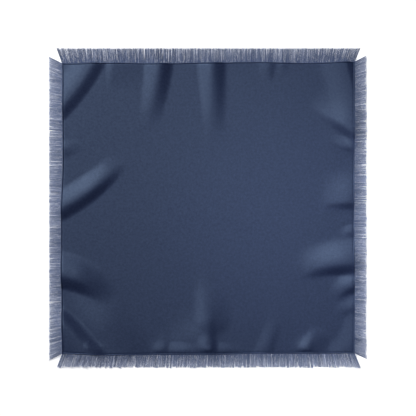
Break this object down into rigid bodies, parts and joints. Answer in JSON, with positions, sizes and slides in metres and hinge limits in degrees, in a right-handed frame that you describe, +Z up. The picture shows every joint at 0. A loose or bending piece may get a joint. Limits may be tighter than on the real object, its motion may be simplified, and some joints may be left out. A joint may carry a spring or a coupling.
{
  "type": "square satin scarf with fringe trim",
  "caption": "Square satin cloth lying flat with soft folds near its edges, a narrow rolled hem and a short thread fringe along each side.",
  "frame": {"origin": "middle of the whole scarf, fringe included, on the surface that it lies on", "axes": "+Z up out of the surface, +Y towards the scarf's top side, +X towards its right side"},
  "size_m": [0.7065, 0.7096, 0.0167],
  "materials": {
    "satin": "navy satin with a soft sheen and a rolled hem of the same cloth",
    "fringe_thread": "fine navy threads, paler where they thin out towards their cut ends"
  },
  "bodies": {
    "root": {"satin_panel": "satin", "fringe_top": "fringe_thread", "fringe_bottom": "fringe_thread", "fringe_left": "fringe_thread", "fringe_right": "fringe_thread"}
  },
  "joints": []
}
